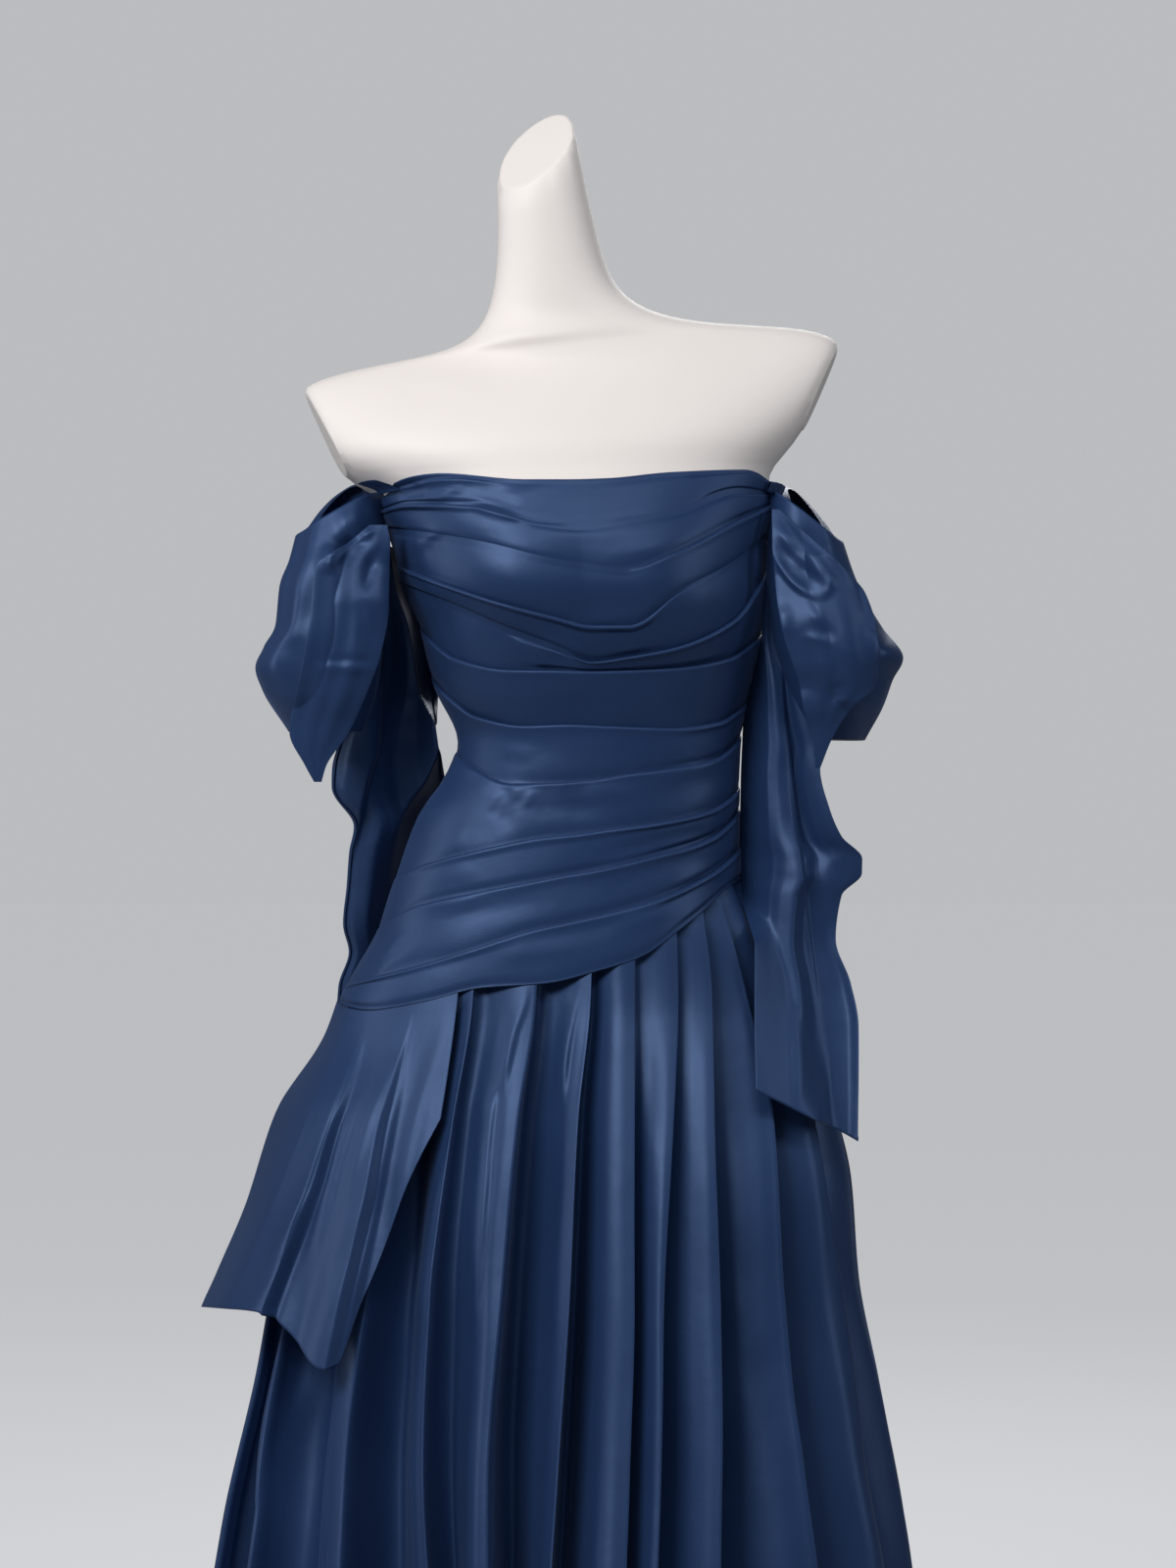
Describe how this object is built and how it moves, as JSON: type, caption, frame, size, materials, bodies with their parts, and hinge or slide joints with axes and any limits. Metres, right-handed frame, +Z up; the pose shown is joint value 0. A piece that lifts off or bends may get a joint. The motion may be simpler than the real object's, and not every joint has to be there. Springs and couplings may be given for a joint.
{
  "type": "a-line prom dress on a dress form",
  "caption": "Floor-length off-the-shoulder satin gown with a ruched bodice and a pleated skirt, worn by a limbless dress form on a round stand.",
  "frame": {"origin": "centre of the stand's base, on the floor", "axes": "+Z up; the wearer faces -Y, so the wearer's left is +X"},
  "size_m": [0.705, 0.7119, 1.6168],
  "materials": {
    "satin": "satin",
    "satin_dark": "satin",
    "form_skin": "matte",
    "steel": "satin"
  },
  "bodies": {
    "dress_on_form": {"bodice_front": "satin", "bodice_back_right": "satin", "bodice_back_left": "satin", "zip_tape": "satin_dark", "zip_slider": "steel", "skirt_front": "satin", "skirt_back": "satin", "hip_drape": "satin", "sleeve_right": "satin", "sleeve_left": "satin", "fan_right": "satin", "fan_left": "satin", "tail_right": "satin", "tail_left": "satin", "strap_right": "satin", "strap_left": "satin", "dress_form": "form_skin", "stand_pole": "steel", "stand_base": "steel"},
    "zip_pull": {"zip_pull": "steel"}
  },
  "joints": [
    {"name": "zip_pull_swing", "type": "hinge", "parent": "dress_on_form", "child": "zip_pull", "pos_m": [0.00266, 0.10419, 1.278], "axis": [1, 0, 0], "range_deg": [0, 160]}
  ]
}
